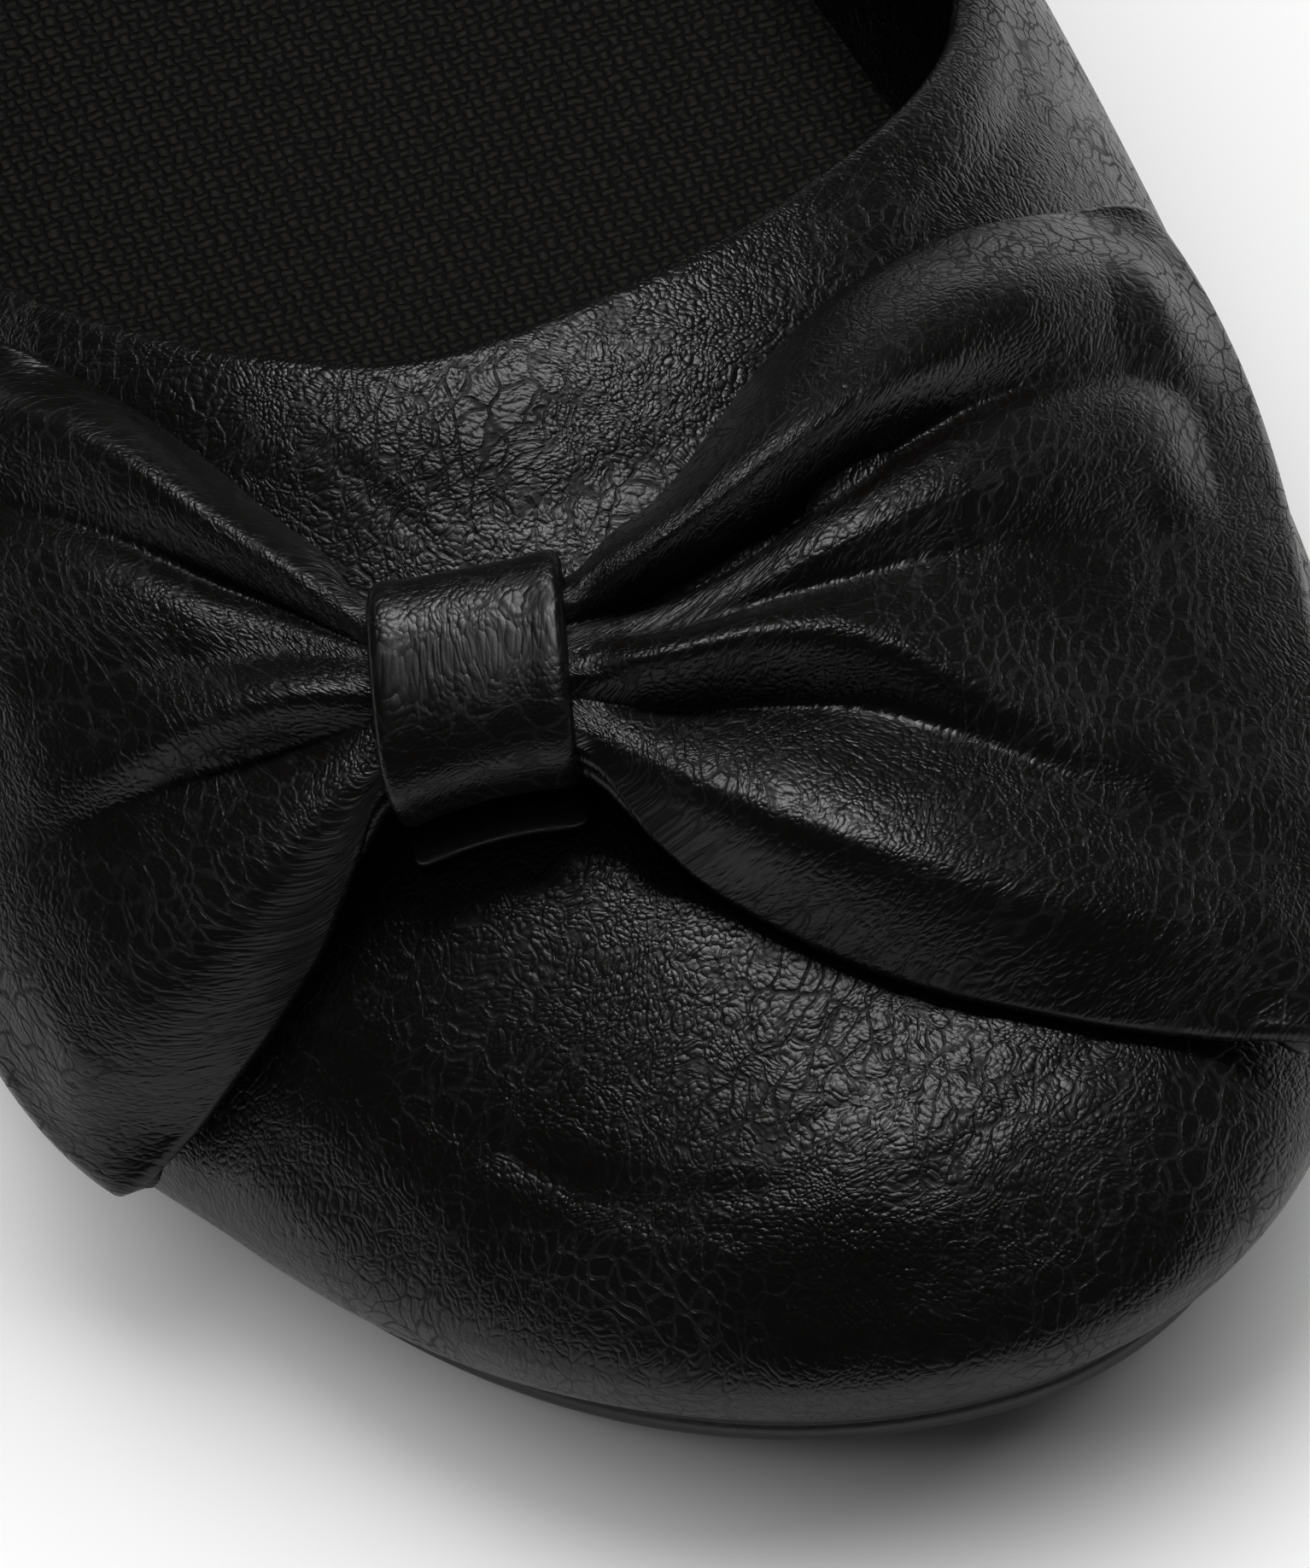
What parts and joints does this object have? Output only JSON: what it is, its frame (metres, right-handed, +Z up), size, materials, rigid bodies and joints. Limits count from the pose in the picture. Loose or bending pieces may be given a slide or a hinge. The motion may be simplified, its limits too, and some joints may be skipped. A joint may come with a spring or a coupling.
{
  "type": "ballet flat",
  "caption": "Low round-toed ballet flat with a wide throat, thin sole, low heel block and a pleated bow with a band on the vamp.",
  "frame": {"origin": "middle of the heel's flat bottom, on the floor", "axes": "+Z up, toe towards -Y, lateral side of this left shoe +X"},
  "size_m": [0.0866, 0.248, 0.0547],
  "materials": {
    "grained_leather": "satin pebbled grain",
    "insole_canvas": "plain woven matt",
    "sole_rubber": "smooth semi-matt"
  },
  "bodies": {
    "root": {"outsole": "sole_rubber", "heel": "sole_rubber", "upper": "grained_leather", "insole": "insole_canvas", "bow_loop_medial": "grained_leather", "bow_loop_lateral": "grained_leather", "bow_band": "grained_leather", "bow_band_tab": "grained_leather"}
  },
  "joints": []
}
